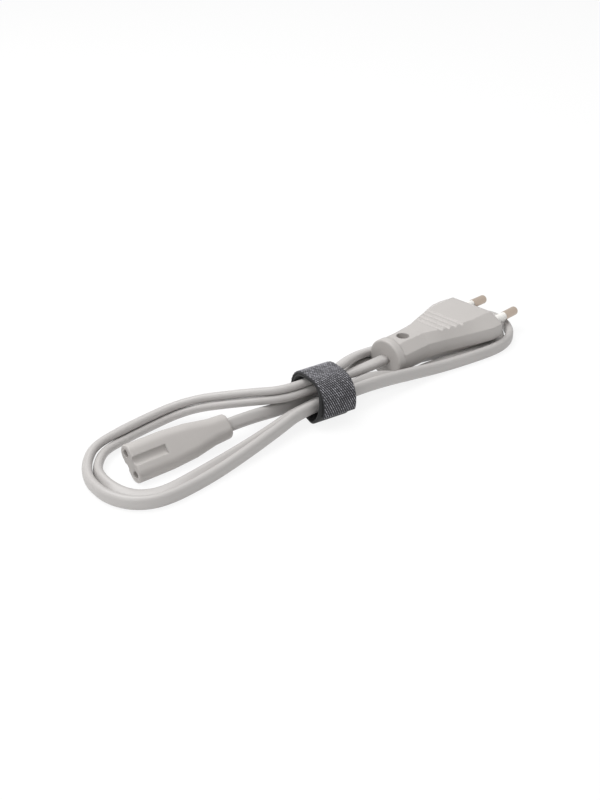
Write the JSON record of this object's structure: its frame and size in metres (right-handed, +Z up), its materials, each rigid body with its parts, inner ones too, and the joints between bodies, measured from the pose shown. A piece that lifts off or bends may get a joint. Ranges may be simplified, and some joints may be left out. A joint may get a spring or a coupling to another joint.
{
  "type": "figure eight power connector lead",
  "caption": "Short grey mains lead with a moulded figure-eight connector and a flat two-pin plug, its flat cord folded in a hank and held by a dark woven tie.",
  "frame": {"origin": "on the table, under the middle of the box round the mouldings and the tie", "axes": "+X along the hank towards the plug's pins, +Y across the hank, +Z up"},
  "size_m": [0.2213, 0.0608, 0.0197],
  "materials": {
    "grey_plastic": "fine matt soft PVC",
    "cord_sheath": "smooth satin PVC sheath",
    "carrier_plastic": "plain moulded",
    "contact_brass": "turned",
    "brown_insulation": "smooth",
    "blue_insulation": "smooth",
    "nickel_plate": "dull nickel plate",
    "sleeve_plastic": "smooth",
    "woven_strap": "woven twill face, looped back"
  },
  "bodies": {
    "root": {"connector_body": "grey_plastic", "plug_body": "grey_plastic", "cord": "cord_sheath", "connector_contact_carrier": "carrier_plastic", "plug_pin_bridge": "carrier_plastic", "connector_contact_near": "contact_brass", "connector_contact_far": "contact_brass", "connector_core_brown": "brown_insulation", "plug_core_brown": "brown_insulation", "connector_core_blue": "blue_insulation", "plug_core_blue": "blue_insulation", "plug_pin_near": "nickel_plate", "plug_pin_far": "nickel_plate", "pin_sleeve_near": "sleeve_plastic", "pin_sleeve_far": "sleeve_plastic", "tie_strap": "woven_strap"}
  },
  "joints": []
}
